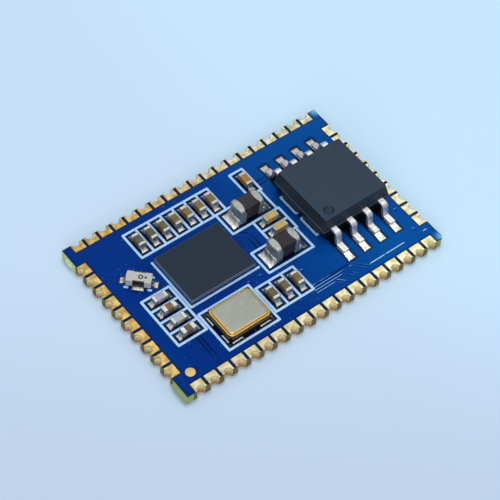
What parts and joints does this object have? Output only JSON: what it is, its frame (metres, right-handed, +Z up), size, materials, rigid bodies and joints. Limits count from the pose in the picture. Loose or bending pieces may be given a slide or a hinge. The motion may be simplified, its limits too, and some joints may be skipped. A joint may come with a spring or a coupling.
{
  "type": "wireless audio module",
  "caption": "Small blue circuit board module with plated half holes round its edge, carrying a radio chip, flash memory, crystal, band filter, power inductors and chip capacitors.",
  "frame": {"origin": "middle of the board's underside, on the plane it rests on", "axes": "+X along the board's long side towards the flash memory, +Y across it towards the back row of capacitors, +Z up out of the component side"},
  "size_m": [0.0202, 0.013, 0.0027],
  "materials": {
    "laminate": "milled glass fibre laminate",
    "solder_mask": "glossy deep blue lacquer",
    "legend": "pale printed ink",
    "gold_plate": "thin gold over nickel and copper",
    "tin_plate": "matte tin plating",
    "solder": "bright reflowed solder",
    "mould_compound": "fine grained black epoxy",
    "silicon": "ground back of a bare die",
    "dark_ceramic": "unglazed",
    "seal_gold": "gold plated seal",
    "lid_metal": "satin nickel plating",
    "white_ceramic": "fired, unglazed",
    "ferrite": "sintered dark brown ferrite",
    "brown_ceramic": "fired, unglazed",
    "tan_ceramic": "fired, unglazed",
    "grey_ceramic": "fired, unglazed"
  },
  "bodies": {
    "root": {"pcb_laminate": "laminate", "solder_mask_top": "solder_mask", "solder_mask_bottom": "solder_mask", "silkscreen": "legend", "fiducial_mark": "gold_plate", "component_lands": "solder", "flash_chip_body": "mould_compound", "flash_chip_leads": "tin_plate", "flash_lead_solder": "solder", "radio_chip_die": "silicon", "radio_chip_balls": "solder", "crystal_base": "dark_ceramic", "crystal_seal_ring": "seal_gold", "crystal_lid": "lid_metal", "rf_filter_body": "white_ceramic", "rf_filter_terminals": "tin_plate", "chip_solder": "solder", "castellations_front": "gold_plate", "castellations_right": "gold_plate", "castellations_back": "gold_plate", "castellations_left": "gold_plate", "power_inductor_1_core": "ferrite", "power_inductor_1_terminals": "tin_plate", "power_inductor_2_core": "ferrite", "power_inductor_2_terminals": "tin_plate", "back_capacitor_1_body": "brown_ceramic", "back_capacitor_1_terminals": "tin_plate", "back_capacitor_2_body": "brown_ceramic", "back_capacitor_2_terminals": "tin_plate", "back_capacitor_3_body": "brown_ceramic", "back_capacitor_3_terminals": "tin_plate", "back_capacitor_4_body": "brown_ceramic", "back_capacitor_4_terminals": "tin_plate", "back_capacitor_5_body": "brown_ceramic", "back_capacitor_5_terminals": "tin_plate", "back_capacitor_6_body": "brown_ceramic", "back_capacitor_6_terminals": "tin_plate", "back_capacitor_7_body": "brown_ceramic", "back_capacitor_7_terminals": "tin_plate", "feed_capacitor_body": "brown_ceramic", "feed_capacitor_terminals": "tin_plate", "bypass_capacitor_1_body": "tan_ceramic", "bypass_capacitor_1_terminals": "tin_plate", "bypass_capacitor_2_body": "tan_ceramic", "bypass_capacitor_2_terminals": "tin_plate", "front_capacitor_1_body": "brown_ceramic", "front_capacitor_1_terminals": "tin_plate", "front_capacitor_2_body": "brown_ceramic", "front_capacitor_2_terminals": "tin_plate", "front_capacitor_3_body": "brown_ceramic", "front_capacitor_3_terminals": "tin_plate", "matching_inductor_1_body": "grey_ceramic", "matching_inductor_1_terminals": "tin_plate", "matching_capacitor_1_body": "brown_ceramic", "matching_capacitor_1_terminals": "tin_plate", "matching_inductor_2_body": "grey_ceramic", "matching_inductor_2_terminals": "tin_plate", "matching_capacitor_2_body": "brown_ceramic", "matching_capacitor_2_terminals": "tin_plate"}
  },
  "joints": []
}
